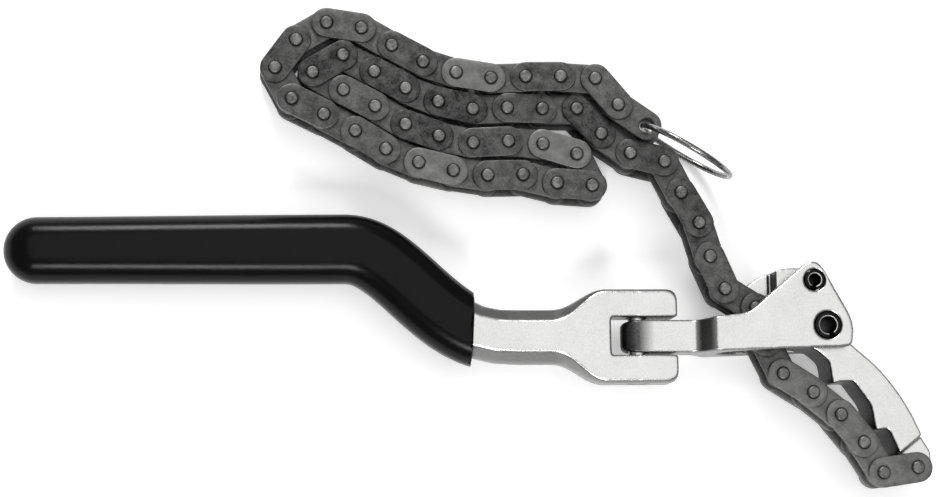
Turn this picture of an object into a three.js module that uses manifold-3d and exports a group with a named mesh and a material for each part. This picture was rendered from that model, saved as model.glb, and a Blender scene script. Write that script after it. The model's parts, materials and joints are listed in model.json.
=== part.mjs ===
// Chain wrench, lying on its side on a bench, in millimetres with +Z up.
// A cranked handle swivels on a clevis pin at the neck of a forked yoke. A toothed jaw turns on a
// spring pin between the yoke's cheeks. A roller chain is pinned to the jaw's tip, runs back between
// the cheeks, and lies folded beside the handle with a pull ring on its last link.

import * as THREE from 'three';
import { mergeVertices } from 'three/addons/utils/BufferGeometryUtils.js';
import Module from 'manifold-3d';

const wasm = await Module();
wasm.setup();

const degree = Math.PI / 180;

// Driving sizes of the roller chain, which is a standard simplex chain of 3/8 inch pitch.
const chain = {
  pitch: 9.525,
  plateHeight: 8.1,
  innerPlateThickness: 1.3,
  outerPlateThickness: 1.04,
  widthBetweenInnerPlates: 5.72,
  plateClearance: 0.2,
  rollerRadius: 3.175,
  pinRadius: 1.64,
  pinLength: 13,
  boreRadius: 2.05,
  plateEndSteps: 5,
  pinSides: 6,
  rollerSides: 8,
  lastBoreSides: 12,
};

// Driving sizes of the yoke. Its places are measured from the jaw's pivot pin.
const yoke = {
  thickness: 20.6,
  cheekThickness: 3.4,
  axisY: -2.3,
  neckWidth: 8.6,
  neckThickness: 9.2,
  eyeReach: 54.4,
  joggleStart: 34.2,
  joggleEnd: 30.6,
  armRise: 2.4,
  shoulderRun: 21.4,
  shoulderRise: 3.4,
  heelRight: 6.5,
  heelDrop: 5.7,
  bellyDrop: 6.9,
  noseRight: 7.1,
  noseDrop: 1,
  flankRight: 6.4,
  flankRise: 2.4,
  apexLeft: 2.7,
  apexRise: 19,
  cornerRadius: 1.6,
  flankRadius: 3.4,
  apexRadius: 4.6,
  slotRoot: 28,
};

// Driving sizes of the two slotted spring pins, the clevis pin, and how pins sit in their holes.
const pivotPin = { radius: 3.45, wall: 1.1, slotWidth: 1.6, slotAngle: -70, sides: 20 };
const stopPin = { radius: 2.7, wall: 1, slotWidth: 1.4, slotAngle: -100, x: -3.2, y: 12.1, sides: 16 };
const clevisPin = { radius: 2.5, sides: 16, inset: 0.3 };
const fit = { pressed: 0.2, running: 0.3, faces: 0.3, overrun: 1 };

// Driving sizes of the jaw. Its reach is a share of the chain's pitch, because its teeth and its
// tail follow the chain, and its places are shares of that reach, measured from its pivot.
const jawPitchesShare = 4.2;
const jawReach = jawPitchesShare * chain.pitch;
const jaw = {
  thickness: 13,
  tongueThickness: 5.2,
  lugThickness: 8.2,
  lugRadius: 4.2,
  softRadius: 1.2,
  tailRadiusShare: 0.4775,
  tailCentreXShare: -0.19,
  tailCentreYShare: -0.0825,
  tailWallShare: -0.322,
  tailEndShare: -0.12,
  tongueTipShare: -0.51,
  tongueRootShare: 0.025,
  grooveWidth: 1,
  grooveDepth: 1.4,
  rollerClearance: 0.5,
  openAngle: 10,
  shutAngle: 1.5,
};

const tail = {
  radius: jaw.tailRadiusShare * jawReach,
  centreX: jaw.tailCentreXShare * jawReach,
  centreY: jaw.tailCentreYShare * jawReach,
  wallX: jaw.tailWallShare * jawReach,
  endX: jaw.tailEndShare * jawReach,
  tongueTipX: jaw.tongueTipShare * jawReach,
  tongueRootY: jaw.tongueRootShare * jawReach,
};

// Corners of the jaw as shares of its reach: right of the pivot, above it, and corner radius.
// They run down the bowed outer edge, round the tip and back over the notches that face the chain.
const jawEdgeShares = [
  [0.185, -0.123], [0.37, -0.28, 0.1], [0.508, -0.46, 0.1], [0.588, -0.605, 0.1],
  [0.645, -0.73, 0.015], [0.488, -0.85, 0.01],
  [0.414, -0.683, 0.025], [0.338, -0.697, 0.015], [0.322, -0.665],
  [0.302, -0.525, 0.03], [0.187, -0.366, 0.012],
  [0.1, -0.372], [0.045, -0.383, 0.012],
  [0.026, -0.23, 0.03], [-0.06, -0.157, 0.02], [-0.2, -0.125], [-0.275, -0.025, 0.03],
];
const jawBackShares = [[-0.075, 0.285], [0.01, 0.218], [0.115, 0.105, 0.03], [0.15, -0.023, 0.03]];
const jawTipShares = [0.615, -0.9425];
const lugShares = [[0.718, -0.838, 0.02], [0.648, -0.725], [0.473, -0.815]];

// Driving sizes of the handle forging and of its dipped grip, with places along X measured from
// the clevis pin. Reaches run back towards the grip, except the fork's, which runs forward.
const handle = {
  thickness: 10,
  crank: 23.75,
  bendSkewShare: 0.83,
  noseDip: 0.5,
  noseReach: 167.8,
  bendFarReach: 78.8,
  bendNearReach: 32.1,
  shankHalfWidth: 7.3,
  shankFlatHalf: 3.9,
  shankLandHalf: 1.6,
  flareFarReach: 22.7,
  flareNearReach: 9.4,
  forkHalfWidth: 12.6,
  forkReach: 10.3,
  forkBevel: 0.85,
  forkCorner: 2.5,
  slotSideClearance: 0.75,
  slotRootReach: 7.6,
  tangHalfWidth: 6.6,
  gripHalfWidth: 9.25,
  gripNoseHalfWidth: 8.75,
  gripHalfThickness: 7.4,
  gripEndReach: 44.6,
  gripEndAngle: 3,
  gripNoseLength: 8.7,
  gripNoseWall: 2.5,
  gripSides: 14,
};

// Driving sizes of the wire ring on the last link. Its lean is how far its middle lies above the
// hole, its tilt is how far it tips to one side, and its swing is its turn about the hole's axis.
const ring = {
  radius: 13.4,
  wireRadius: 0.95,
  leanAngle: 7,
  tiltAngle: 7,
  swingAngle: 4.5,
  setBack: 0.6,
  wireSides: 6,
  steps: 28,
};

// Headings of the chain's links in whole degrees, read from the photograph, strand by strand.
const strandAngles = {
  alongJaw: [188, 122, 129, 141, 148, 116, 107],
  freeSpan: [148, 113, 106, 119, 116, 166, 145, 133],
  coilOutward: [180, 179, 182, 168, 158, 152, 152],
  coilFirstTurn: [211, 330],
  coilBack: [333, 329, 341, 349, 363, 355, 343],
  coilSecondTurn: [295, 176],
  coilThird: [166, 181, 172, 167, 158, 149, 152, 154],
  coilLastTurn: [118, 54, 31],
  tail: [352, 330, 332, 342, 351, 2, 360, 356, 309, 324],
};
const linkAngles = Object.values(strandAngles).flat();

// The chain leaves the yoke at the height of the yoke's middle and comes down to the bench along a
// long gentle fall. Its tail rises again, because the standing ring props up the last link. The
// counts are those of the links before the fall starts, before it ends, and before the rise starts.
const route = {
  fallStartCount: 7,
  fallEndCount: 18,
  riseStartCount: 45,
  fallAngle: 145,
  riseAngle: -19,
};

// Counts of the pins whose rollers lie in hollows of the jaw's tongue.
const tonguePinCounts = [6, 7, 8];

// Which links, counted from the jaw, are joined to the next one at two sharp folds of the coil.
const joinedPairs = { 32: 'coil_turn_right', 42: 'coil_turn_left' };

const finishes = {
  chrome: { color: 0xd4d4d2, roughness: 0.34, metalness: 0.95 },
  blackSteel: { color: 0x54544f, roughness: 0.5, metalness: 0.8 },
  springSteel: { color: 0x1b1b1c, roughness: 0.38, metalness: 0.85 },
  grip: { color: 0x0b0b0c, roughness: 0.25, metalness: 0 },
  wire: { color: 0x9b9b99, roughness: 0.28, metalness: 0.95 },
};

// Solids: conversion between three.js geometry and closed manifold solids.
function solidOf(geometry) {
  const bare = geometry.index ? geometry.toNonIndexed() : geometry.clone();
  bare.deleteAttribute('normal');
  bare.deleteAttribute('uv');
  const merged = mergeVertices(bare);
  const vertProperties = new Float32Array(merged.attributes.position.array);
  const triVerts = new Uint32Array(merged.index.array);
  return new wasm.Manifold(new wasm.Mesh({ numProp: 3, vertProperties, triVerts }));
}

function geometryOf(solid) {
  const mesh = solid.getMesh();
  const geometry = new THREE.BufferGeometry();
  geometry.setAttribute('position', new THREE.BufferAttribute(new Float32Array(mesh.vertProperties), 3));
  geometry.setIndex(new THREE.BufferAttribute(new Uint32Array(mesh.triVerts), 1));
  geometry.computeVertexNormals();
  return geometry;
}

function moved(solid, matrix) {
  return solidOf(geometryOf(solid).applyMatrix4(matrix));
}

// A flat outline stood up as a slab that spans the same distance above and below its own plane.
function slab(shape, thickness, curveSegments = 3) {
  const settings = { depth: thickness, bevelEnabled: false, curveSegments };
  return new THREE.ExtrudeGeometry(shape, settings).translate(0, 0, -thickness / 2);
}

// The same slab turned so that its outline lies in the X-Z plane and its thickness runs along Y.
function sideSlab(shape, thickness, curveSegments = 3) {
  return slab(shape, thickness, curveSegments).rotateX(Math.PI / 2);
}

function rod(radius, length, sides, x = 0, y = 0) {
  const geometry = new THREE.CylinderGeometry(radius, radius, length, sides, 1);
  return geometry.rotateX(Math.PI / 2).translate(x, y, 0);
}

// A closed outline through corners, each rounded by its own radius as far as its sides allow.
function roundedOutline(corners) {
  const shape = new THREE.Shape();
  corners.forEach(([x, y, radius = 0], index) => {
    const corner = new THREE.Vector2(x, y);
    const before = new THREE.Vector2(...corners.at(index - 1));
    const after = new THREE.Vector2(...corners[(index + 1) % corners.length]);
    const back = before.sub(corner);
    const ahead = after.sub(corner);
    const reach = Math.min(radius, back.length() / 2, ahead.length() / 2);
    const start = corner.clone().addScaledVector(back.normalize(), reach);
    const end = corner.clone().addScaledVector(ahead.normalize(), reach);
    if (index === 0) shape.moveTo(start.x, start.y);
    else shape.lineTo(start.x, start.y);
    if (reach > 0) shape.quadraticCurveTo(corner.x, corner.y, end.x, end.y);
  });
  shape.closePath();
  return shape;
}

// Chain: every link starts at its first pin, lies along +X, and is centred on its own mid-plane.
const innerFace = chain.widthBetweenInnerPlates / 2 + chain.innerPlateThickness;
const outerInside = innerFace + chain.plateClearance;
const outerFace = outerInside + chain.outerPlateThickness;

function plateOutline() {
  const points = [];
  for (const [centre, first] of [[chain.pitch, -90], [0, 90]]) {
    for (let step = 0; step <= chain.plateEndSteps; step += 1) {
      const angle = (first + (180 * step) / chain.plateEndSteps) * degree;
      const radius = chain.plateHeight / 2;
      points.push(new THREE.Vector2(centre + radius * Math.cos(angle), radius * Math.sin(angle)));
    }
  }
  return new THREE.Shape(points);
}

function platePair(thickness, insideHeight) {
  const plate = slab(plateOutline(), thickness);
  const lift = insideHeight + thickness / 2;
  const upper = solidOf(plate.clone().translate(0, 0, lift));
  const lower = solidOf(plate.clone().translate(0, 0, -lift));
  return upper.add(lower);
}

function outerLink() {
  let link = platePair(chain.outerPlateThickness, outerInside);
  for (const x of [0, chain.pitch]) {
    link = link.add(solidOf(rod(chain.pinRadius, chain.pinLength, chain.pinSides, x)));
  }
  return link;
}

function innerLink(boreSides = [chain.pinSides, chain.pinSides]) {
  const width = innerFace * 2;
  let link = platePair(chain.innerPlateThickness, chain.widthBetweenInnerPlates / 2);
  [0, chain.pitch].forEach((x) => {
    const roller = rod(chain.rollerRadius, width - chain.innerPlateThickness, chain.rollerSides, x);
    link = link.add(solidOf(roller));
  });
  [0, chain.pitch].forEach((x, end) => {
    if (boreSides[end] === 0) return;
    const bore = rod(chain.boreRadius, width + fit.overrun, boreSides[end], x);
    link = link.subtract(solidOf(bore));
  });
  return link;
}

const linkCount = linkAngles.length;
const coilMid = chain.pinLength / 2;
const yokeMid = yoke.thickness / 2;
const ringLean = ring.leanAngle * degree;
const ringReach = ring.radius * Math.cos(ringLean) - ring.setBack;
const ringLift = ring.radius * Math.sin(ringLean);

function unit(heading) {
  return new THREE.Vector2(Math.cos(heading * degree), Math.sin(heading * degree));
}

// The plan of the chain, flat on the bench, gives the lengths of the fall and of the rise.
function planPins() {
  const [xShare, yShare] = jawTipShares;
  const places = [new THREE.Vector2(xShare * jawReach, yShare * jawReach)];
  linkAngles.forEach((heading) => {
    places.push(places.at(-1).clone().addScaledVector(unit(heading), chain.pitch));
  });
  return places;
}

const plan = planPins();
const fallAxis = unit(route.fallAngle);
const riseAxis = unit(route.riseAngle);
const fallLength = plan[route.fallEndCount].clone().sub(plan[route.fallStartCount]).dot(fallAxis);
const riseLength = plan[linkCount].clone().sub(plan[route.riseStartCount]).dot(riseAxis);
const ringHeight = ring.radius * Math.cos(ring.tiltAngle * degree) + ring.wireRadius;

// The ring's height over the last pin follows the slope of the last link, which points off the rise.
const lastTurn = riseAxis.dot(unit(linkAngles.at(-1) + ring.swingAngle));
const lastSlopeShare = (2 * ringReach * lastTurn * (1 - chain.pitch / (2 * riseLength))) / riseLength;
const rise = (ringHeight - coilMid - ringLift) / (1 + lastSlopeShare);

// Height of the chain's mid-plane and its slope vector at a place of the plan.
function chainSurface(place, pinIndex) {
  if (pinIndex > route.riseStartCount) {
    const share = place.clone().sub(plan[route.riseStartCount]).dot(riseAxis) / riseLength;
    const slope = (2 * rise * share) / riseLength;
    return { height: coilMid + rise * share * share, slope: riseAxis.clone().multiplyScalar(slope) };
  }
  const along = place.clone().sub(plan[route.fallStartCount]).dot(fallAxis) / fallLength;
  const share = pinIndex <= route.fallStartCount ? 0 : THREE.MathUtils.clamp(along, 0, 1);
  const fall = yokeMid - coilMid;
  const slope = (-fall * Math.PI * Math.sin(Math.PI * share)) / (2 * fallLength);
  const height = yokeMid - (fall * (1 - Math.cos(Math.PI * share))) / 2;
  return { height, slope: fallAxis.clone().multiplyScalar(slope) };
}

// Walks along the chain one pitch at a time, each pin set at the height of the surface there.
function walkPins() {
  const settleSteps = 4;
  const first = chainSurface(plan[0], 0);
  const pins = [new THREE.Vector3(plan[0].x, plan[0].y, first.height)];
  linkAngles.forEach((heading, index) => {
    const from = pins.at(-1);
    let next = from.clone();
    for (let step = 0; step < settleSteps; step += 1) {
      const drop = next.z - from.z;
      const reach = Math.sqrt(chain.pitch ** 2 - drop ** 2);
      const place = new THREE.Vector2(from.x, from.y).addScaledVector(unit(heading), reach);
      next = new THREE.Vector3(place.x, place.y, chainSurface(place, index + 1).height);
    }
    pins.push(next);
  });
  return pins;
}

const pins = walkPins();

// The frame of a link: X along it, Z along its pins, origin at its first pin.
function linkFrame(index) {
  const along = pins[index + 1].clone().sub(pins[index]).normalize();
  const middle = pins[index + 1].clone().add(pins[index]).multiplyScalar(1 / 2);
  const { slope } = chainSurface(new THREE.Vector2(middle.x, middle.y), index + 1);
  const up = new THREE.Vector3(-slope.x, -slope.y, 1);
  up.addScaledVector(along, -up.dot(along)).normalize();
  const across = up.clone().cross(along);
  return new THREE.Matrix4().makeBasis(along, across, up).setPosition(pins[index]);
}

// Yoke: a plan outline crossed with a side outline, then slotted, with its holes cut.
const eyeX = -yoke.eyeReach + yoke.neckThickness / 2;
const cheekGap = yoke.thickness - 2 * yoke.cheekThickness;

function yokePlan() {
  const neck = yoke.neckWidth / 2;
  const round = yoke.cornerRadius;
  return roundedOutline([
    [-yoke.eyeReach - fit.overrun, yoke.axisY - neck, neck],
    [-yoke.joggleEnd, -yoke.bellyDrop, round],
    [yoke.heelRight, -yoke.heelDrop, round],
    [yoke.noseRight, -yoke.noseDrop, round],
    [yoke.flankRight, yoke.flankRise, yoke.flankRadius],
    [-yoke.apexLeft, yoke.apexRise, yoke.apexRadius],
    [-yoke.shoulderRun, yoke.shoulderRise, round],
    [-yoke.joggleEnd, yoke.armRise, round],
    [-yoke.joggleStart, yoke.axisY + neck],
    [-yoke.eyeReach - fit.overrun, yoke.axisY + neck, neck],
  ]);
}

function yokeSide() {
  const neck = yoke.neckThickness / 2;
  const half = yokeMid;
  const round = yoke.cornerRadius;
  const right = yoke.noseRight + fit.overrun;
  const joggle = [[-yoke.joggleStart, neck, round], [-yoke.joggleEnd, half, round]];
  const below = joggle.map(([x, z, radius]) => [x, -z, radius]).reverse();
  const corners = [[eyeX, neck], ...joggle, [right, half], [right, -half], ...below, [eyeX, -neck]];
  return roundedOutline(corners);
}

function yokeSlot() {
  const shape = new THREE.Shape();
  const half = cheekGap / 2;
  const centre = -yoke.slotRoot + half;
  const right = yoke.noseRight + 2 * fit.overrun;
  shape.moveTo(right, -half);
  shape.lineTo(right, half);
  shape.lineTo(centre, half);
  shape.absarc(centre, 0, half, Math.PI / 2, Math.PI * 1.5, false);
  shape.closePath();
  return shape;
}

function makeYoke() {
  const deep = 4 * yoke.apexRise;
  const eyeSides = 20;
  const neck = yoke.neckThickness / 2;
  const eye = solidOf(rod(neck, deep, eyeSides).rotateX(Math.PI / 2).translate(eyeX, 0, 0));
  const pinHole = rod(clevisPin.radius + fit.running, deep, clevisPin.sides);
  const side = solidOf(sideSlab(yokeSide(), deep)).add(eye);
  return solidOf(slab(yokePlan(), yoke.thickness))
    .intersect(side)
    .subtract(solidOf(sideSlab(yokeSlot(), deep, 4)))
    .subtract(solidOf(pinHole.rotateX(Math.PI / 2).translate(eyeX, 0, 0)))
    .subtract(solidOf(rod(pivotPin.radius + fit.pressed, deep, pivotPin.sides)))
    .subtract(solidOf(rod(stopPin.radius + fit.pressed, deep, stopPin.sides, stopPin.x, stopPin.y)));
}

// A rolled spring pin: a tube with a slot down its whole length.
function springPin(pin) {
  const inner = pin.radius - pin.wall;
  const tube = solidOf(rod(pin.radius, yoke.thickness, pin.sides));
  const hollow = solidOf(rod(inner, yoke.thickness + fit.overrun, pin.sides));
  const cutter = new THREE.BoxGeometry(pin.radius * 2, pin.slotWidth, yoke.thickness + fit.overrun);
  cutter.translate(pin.radius, 0, 0).rotateZ(pin.slotAngle * degree);
  return tube.subtract(hollow).subtract(solidOf(cutter));
}

// Jaw: a thick toothed body, a thin tongue that reaches between the chain's plates, and a tip lug.
// The tail of the jaw and the top of its tongue are one arc that turns about the jaw's own centre.
function jawCorners(shares) {
  return shares.map(([xShare, yShare, roundShare = 0]) => {
    return [xShare * jawReach, yShare * jawReach, roundShare * jawReach];
  });
}

function tailCorners(fromX, toX, steps) {
  const corners = [];
  for (let step = 0; step <= steps; step += 1) {
    const x = THREE.MathUtils.lerp(fromX, toX, step / steps);
    corners.push([x, tailArcY(x)]);
  }
  return corners;
}

function jawOutline() {
  const throat = [tail.wallX, tail.tongueRootY, jaw.softRadius];
  const arc = tailCorners(tail.wallX, tail.endX, 4);
  return roundedOutline([...jawCorners(jawEdgeShares), throat, ...arc, ...jawCorners(jawBackShares)]);
}

function tailArcY(x) {
  return tail.centreY + Math.sqrt(tail.radius ** 2 - (x - tail.centreX) ** 2);
}

function tongueOutline() {
  const wallX = tail.wallX + fit.overrun;
  const wall = [[wallX, tail.tongueRootY], [wallX, tailArcY(wallX)]];
  const arc = tailCorners(tail.wallX, tail.tongueTipX, 4);
  const foot = pins[tonguePinCounts[1]];
  return roundedOutline([...wall, ...arc, [foot.x, foot.y]]);
}

// Grooves above and below the tongue where it meets the thick body.
function tongueGrooves() {
  const deep = 2 * tail.radius;
  const middleX = tail.wallX - jaw.grooveWidth / 2;
  const lift = jaw.tongueThickness / 2;
  const groove = new THREE.BoxGeometry(jaw.grooveWidth, deep, 2 * jaw.grooveDepth);
  const upper = solidOf(groove.clone().translate(middleX, 0, lift));
  return upper.add(solidOf(groove.translate(middleX, 0, -lift)));
}

// The lug at the jaw's tip, rounded about the chain's first pin.
function lugOutline() {
  const side = jaw.lugRadius;
  const round = jaw.lugRadius / 2;
  const { x, y } = pins[0];
  const foot = [[x - side, y, round], [x - round, y - side, round], [x + round, y - side, round]];
  return roundedOutline([...jawCorners(lugShares), ...foot, [x + side, y, round]]);
}

// An arc-shaped slot about the pivot, in which the stop pin lies while the jaw turns.
function stopSlot() {
  const radius = Math.hypot(stopPin.x, stopPin.y);
  const heading = Math.atan2(stopPin.y, stopPin.x);
  const half = stopPin.radius + fit.running;
  const from = heading - jaw.shutAngle * degree;
  const to = heading + jaw.openAngle * degree;
  const shape = new THREE.Shape();
  shape.absarc(0, 0, radius + half, from, to, false);
  shape.absarc(radius * Math.cos(to), radius * Math.sin(to), half, to, to + Math.PI, false);
  shape.absarc(0, 0, radius - half, to, from, true);
  const back = from + Math.PI;
  shape.absarc(radius * Math.cos(from), radius * Math.sin(from), half, back, back + Math.PI, false);
  return shape;
}

function makeJaw() {
  const deep = jaw.thickness + fit.overrun;
  const rollerRoom = chain.rollerRadius + jaw.rollerClearance;
  let tongue = solidOf(slab(tongueOutline(), jaw.tongueThickness));
  for (const count of tonguePinCounts) {
    const pin = pins[count];
    tongue = tongue.subtract(solidOf(rod(rollerRoom, deep, 2 * chain.rollerSides, pin.x, pin.y)));
  }
  const pinHole = rod(chain.boreRadius, deep, chain.pinSides, pins[0].x, pins[0].y);
  return solidOf(slab(jawOutline(), jaw.thickness, 2))
    .add(tongue.subtract(tongueGrooves()))
    .add(solidOf(slab(lugOutline(), jaw.lugThickness, 2)))
    .subtract(solidOf(pinHole))
    .subtract(solidOf(slab(stopSlot(), deep)))
    .subtract(solidOf(rod(pivotPin.radius + fit.running, deep, pivotPin.sides)));
}

// Handle: rings of points across a spine that runs straight, bends down and runs straight again.
// It is built about the clevis pin.
function spineHeight(x) {
  const fromBend = x + handle.bendFarReach;
  const share = THREE.MathUtils.clamp(fromBend / (handle.bendFarReach - handle.bendNearReach), 0, 1);
  const fallShare = THREE.MathUtils.smootherstep(share ** handle.bendSkewShare, 0, 1);
  const dipShare = Math.min(0, fromBend) / (handle.noseReach - handle.bendFarReach);
  return handle.crank * (1 - fallShare) + handle.noseDip * dipShare;
}

function spine(x) {
  const probe = fit.overrun / 10;
  const slope = (spineHeight(x + probe) - spineHeight(x - probe)) / (2 * probe);
  return { y: spineHeight(x), tilt: Math.atan(slope) };
}

// Skins a row of rings, each a list of [across, height] points at its own place along the spine.
function skin(rings) {
  const count = rings[0].points.length;
  const positions = [];
  const faces = [];
  for (const { x, points } of rings) {
    const { y, tilt } = spine(x);
    for (const [across, height] of points) {
      positions.push(x - across * Math.sin(tilt), y + across * Math.cos(tilt), height);
    }
  }
  const corner = (row, column) => row * count + (column % count);
  for (let row = 0; row + 1 < rings.length; row += 1) {
    for (let column = 0; column < count; column += 1) {
      const [a, b] = [corner(row, column), corner(row, column + 1)];
      const [c, d] = [corner(row + 1, column + 1), corner(row + 1, column)];
      faces.push(a, b, c, a, c, d);
    }
  }
  const last = rings.length - 1;
  for (let column = 1; column + 1 < count; column += 1) {
    faces.push(corner(0, 0), corner(0, column + 1), corner(0, column));
    faces.push(corner(last, 0), corner(last, column), corner(last, column + 1));
  }
  const geometry = new THREE.BufferGeometry();
  geometry.setAttribute('position', new THREE.BufferAttribute(new Float32Array(positions), 3));
  geometry.setIndex(faces);
  return solidOf(geometry);
}

// A forged bar's section: flats above and below, an upright land each side, bevels between.
function forgedRing(x, halfWidth, flatHalf, landHalf, grow = 0) {
  const half = handle.thickness / 2 + grow;
  const [wide, flat, land] = [halfWidth + grow, flatHalf + grow / 2, landHalf + grow / 2];
  const right = [[wide, -land], [wide, land], [flat, half]];
  const left = [[-flat, half], [-wide, land], [-wide, -land]];
  return { x, points: [...right, ...left, [-flat, -half], [flat, -half]] };
}

function tangRings(grow = 0) {
  const rings = [];
  const bendSteps = 8;
  const flat = handle.shankFlatHalf;
  const land = handle.shankLandHalf;
  const tangStart = -handle.noseReach + handle.gripNoseWall - grow;
  const endShare = 0.75;
  rings.push(forgedRing(tangStart, handle.tangHalfWidth * endShare, flat * endShare, land, grow));
  rings.push(forgedRing(tangStart + handle.gripNoseWall, handle.tangHalfWidth, flat, land, grow));
  for (let step = 0; step <= bendSteps; step += 1) {
    const share = step / bendSteps;
    const x = THREE.MathUtils.lerp(-handle.bendFarReach, -handle.bendNearReach, share);
    const half = THREE.MathUtils.lerp(handle.tangHalfWidth, handle.shankHalfWidth, share);
    rings.push(forgedRing(x, half, flat, land, grow));
  }
  return rings;
}

function makeForging() {
  const rings = tangRings();
  const flareSteps = 6;
  const forkLand = handle.thickness / 2 - handle.forkBevel;
  for (let step = 0; step <= flareSteps; step += 1) {
    const share = step / flareSteps;
    const ease = share * share * (3 - 2 * share);
    const x = THREE.MathUtils.lerp(-handle.flareFarReach, -handle.flareNearReach, share);
    const half = THREE.MathUtils.lerp(handle.shankHalfWidth, handle.forkHalfWidth, ease);
    const flat = THREE.MathUtils.lerp(handle.shankFlatHalf, handle.forkHalfWidth - handle.forkBevel, ease);
    rings.push(forgedRing(x, half, flat, THREE.MathUtils.lerp(handle.shankLandHalf, forkLand, ease)));
  }
  const cornerSteps = 4;
  for (let step = 0; step <= cornerSteps; step += 1) {
    const turn = (step / cornerSteps) * (Math.PI / 2);
    const inset = handle.forkCorner * (1 - Math.cos(turn));
    const x = handle.forkReach - handle.forkCorner * (1 - Math.sin(turn));
    const half = handle.forkHalfWidth - inset;
    rings.push(forgedRing(x, half, half - handle.forkBevel, forkLand));
  }
  const slotLength = handle.forkReach + handle.slotRootReach + fit.overrun;
  const slotWidth = yoke.neckWidth + 2 * handle.slotSideClearance;
  const slot = new THREE.BoxGeometry(slotLength, slotWidth, handle.thickness + fit.overrun);
  slot.translate(slotLength / 2 - handle.slotRootReach, 0, 0);
  const deep = 4 * handle.forkHalfWidth;
  const pinHole = rod(clevisPin.radius + fit.pressed, deep, clevisPin.sides);
  return skin(rings).subtract(solidOf(slot)).subtract(solidOf(pinHole.rotateX(Math.PI / 2)));
}

// The dipped grip: a rounded-square section with a domed nose, hollowed by the tang inside it.
function gripRing(x, share) {
  const points = [];
  const squareShare = 0.7;
  const noseShare = THREE.MathUtils.smoothstep(-x, handle.bendFarReach, handle.noseReach);
  const halfWidth = THREE.MathUtils.lerp(handle.gripHalfWidth, handle.gripNoseHalfWidth, noseShare);
  for (let side = 0; side < handle.gripSides; side += 1) {
    const turn = (2 * Math.PI * (side + 1 / 2)) / handle.gripSides;
    const across = Math.sign(Math.cos(turn)) * Math.abs(Math.cos(turn)) ** squareShare;
    const height = Math.sign(Math.sin(turn)) * Math.abs(Math.sin(turn)) ** squareShare;
    points.push([across * halfWidth * share, height * handle.gripHalfThickness * share]);
  }
  return { x, points };
}

function makeGrip() {
  const rings = [];
  const noseSteps = 4;
  const bendSteps = 8;
  const tipShare = 0.3;
  for (let step = 0; step <= noseSteps; step += 1) {
    const turn = (step / noseSteps) * (Math.PI / 2);
    const share = tipShare + (1 - tipShare) * Math.sin(turn);
    rings.push(gripRing(handle.gripNoseLength * (1 - Math.cos(turn)) - handle.noseReach, share));
  }
  for (let step = 0; step <= bendSteps; step += 1) {
    const share = step / bendSteps;
    rings.push(gripRing(THREE.MathUtils.lerp(-handle.bendFarReach, -handle.bendNearReach, share), 1));
  }
  const size = 8 * handle.gripHalfWidth;
  const trim = new THREE.BoxGeometry(size, size, size).translate(size / 2, 0, 0);
  trim.rotateZ(-handle.gripEndAngle * degree).translate(-handle.gripEndReach, 0, 0);
  return skin(rings).subtract(skin(tangRings(fit.faces))).subtract(solidOf(trim));
}

function makeClevisPin() {
  const length = 2 * (handle.forkHalfWidth - clevisPin.inset);
  return rod(clevisPin.radius, length, clevisPin.sides).rotateX(Math.PI / 2);
}

// Assembly
function piece(name, geometry, finish) {
  const mesh = new THREE.Mesh(geometry, new THREE.MeshStandardMaterial(finishes[finish]));
  mesh.name = name;
  return mesh;
}

function chainPieces() {
  const outer = geometryOf(outerLink());
  const inner = geometryOf(innerLink());
  const last = geometryOf(innerLink([chain.pinSides, chain.lastBoreSides]));
  const pieces = [];
  for (let index = 0; index < linkCount; index += 1) {
    const number = index + 1;
    if (joinedPairs[number - 1]) continue;
    let geometry = index % 2 === 0 ? outer : inner;
    if (number === linkCount) geometry = last;
    if (joinedPairs[number]) {
      const next = linkFrame(index).invert().multiply(linkFrame(index + 1));
      geometry = geometryOf(innerLink([chain.pinSides, 0]).add(moved(outerLink(), next)));
    }
    const kind = index % 2 === 0 ? 'outer_link' : 'inner_link';
    const label = `${kind}_${String(Math.floor(index / 2) + 1).padStart(2, '0')}`;
    const mesh = piece(joinedPairs[number] ?? label, geometry.clone(), 'blackSteel');
    mesh.applyMatrix4(linkFrame(index));
    pieces.push(mesh);
  }
  return pieces;
}

function ringPiece() {
  const geometry = new THREE.TorusGeometry(ring.radius, ring.wireRadius, ring.wireSides, ring.steps);
  geometry.rotateX(Math.PI / 2).translate(ringReach, 0, ringLift);
  geometry.rotateX(ring.tiltAngle * degree).rotateZ(ring.swingAngle * degree);
  geometry.translate(chain.pitch, 0, 0);
  const mesh = piece('pull_ring', geometry, 'wire');
  mesh.applyMatrix4(linkFrame(linkCount - 1));
  return mesh;
}

function handleGroup() {
  const group = new THREE.Group();
  group.position.set(eyeX, yoke.axisY, yokeMid);
  const reach = handle.noseReach - handle.gripNoseLength;
  group.rotation.y = -Math.asin((yokeMid - handle.gripHalfThickness) / reach);
  group.add(piece('handle_forging', geometryOf(makeForging()), 'chrome'));
  group.add(piece('dipped_grip', geometryOf(makeGrip()), 'grip'));
  group.add(piece('clevis_pin', makeClevisPin(), 'chrome'));
  return group;
}

function headGroup() {
  const group = new THREE.Group();
  group.position.z = yokeMid;
  const stop = piece('stop_spring_pin', geometryOf(springPin(stopPin)), 'springSteel');
  stop.position.set(stopPin.x, stopPin.y, 0);
  group.add(piece('yoke', geometryOf(makeYoke()), 'chrome'));
  group.add(piece('jaw', geometryOf(makeJaw()), 'chrome'));
  group.add(piece('pivot_spring_pin', geometryOf(springPin(pivotPin)), 'springSteel'));
  group.add(stop);
  return group;
}

const wrench = new THREE.Group();
wrench.add(headGroup(), handleGroup(), ...chainPieces(), ringPiece());

// The finished wrench stands on z = 0 with the middle of its outline over the origin.
wrench.updateMatrixWorld(true);
const bounds = new THREE.Box3().setFromObject(wrench, true);
const middle = bounds.getCenter(new THREE.Vector3());
wrench.position.set(-middle.x, -middle.y, -bounds.min.z);

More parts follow.
